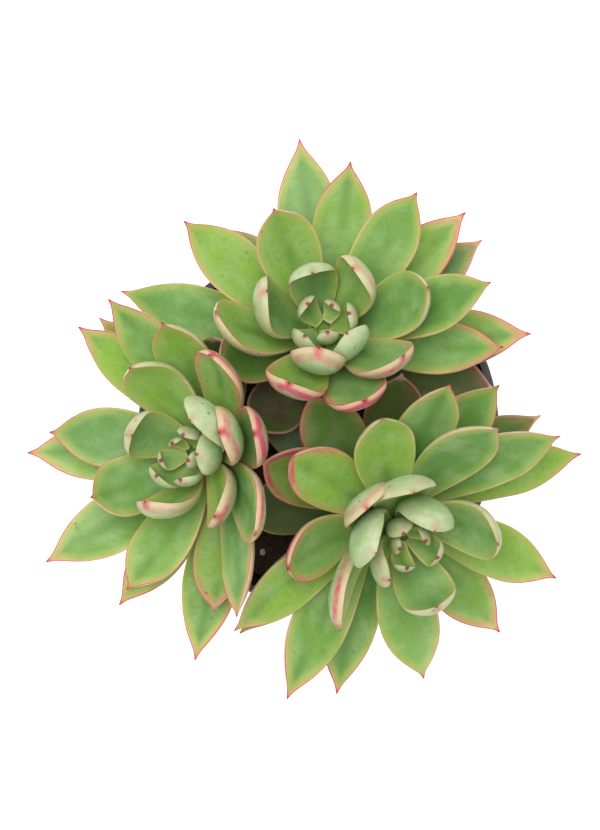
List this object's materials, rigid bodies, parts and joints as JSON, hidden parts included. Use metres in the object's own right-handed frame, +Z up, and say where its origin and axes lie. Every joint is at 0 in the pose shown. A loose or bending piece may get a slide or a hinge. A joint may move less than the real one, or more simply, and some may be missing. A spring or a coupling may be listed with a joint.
{
  "type": "potted succulent",
  "caption": "Round nursery pot of compost holding crowded rosettes of thick pointed leaves with red margins, leaning apart from the middle.",
  "frame": {"origin": "centre of the pot's flat underside, on the pot's axis", "axes": "+Z up along the pot's axis; +X and +Y are the right and the top of the plant as it is seen from above"},
  "size_m": [0.1592, 0.1607, 0.1354],
  "materials": {
    "black_plastic": "moulded, satin",
    "compost": "loose, damp and rough",
    "stem": "dull, scarred where old leaves fell",
    "leaf": "waxy satin, red at the margin and point"
  },
  "bodies": {
    "root": {"crown_a": "stem", "crown_b": "stem", "crown_c": "stem", "leaf_a01": "leaf", "leaf_a02": "leaf", "leaf_a03": "leaf", "leaf_a04": "leaf", "leaf_a05": "leaf", "leaf_a06": "leaf", "leaf_a07": "leaf", "leaf_a08": "leaf", "leaf_a09": "leaf", "leaf_a10": "leaf", "leaf_a11": "leaf", "leaf_a12": "leaf", "leaf_a13": "leaf", "leaf_a14": "leaf", "leaf_a15": "leaf", "leaf_a16": "leaf", "leaf_a17": "leaf", "leaf_a18": "leaf", "leaf_b01": "leaf", "leaf_b02": "leaf", "leaf_b03": "leaf", "leaf_b04": "leaf", "leaf_b05": "leaf", "leaf_b06": "leaf", "leaf_b07": "leaf", "leaf_b08": "leaf", "leaf_b09": "leaf", "leaf_b10": "leaf", "leaf_b11": "leaf", "leaf_b12": "leaf", "leaf_b13": "leaf", "leaf_b14": "leaf", "leaf_b15": "leaf", "leaf_b16": "leaf", "leaf_b17": "leaf", "leaf_b18": "leaf", "leaf_c01": "leaf", "leaf_c02": "leaf", "leaf_c03": "leaf", "leaf_c04": "leaf", "leaf_c05": "leaf", "leaf_c06": "leaf", "leaf_c07": "leaf", "leaf_c08": "leaf", "leaf_c09": "leaf", "leaf_c10": "leaf", "leaf_c11": "leaf", "leaf_c12": "leaf", "leaf_c13": "leaf", "leaf_c14": "leaf", "leaf_c15": "leaf", "leaf_c16": "leaf", "leaf_c17": "leaf", "leaf_c18": "leaf", "leaf_c19": "leaf", "pot": "black_plastic", "soil": "compost"}
  },
  "joints": []
}
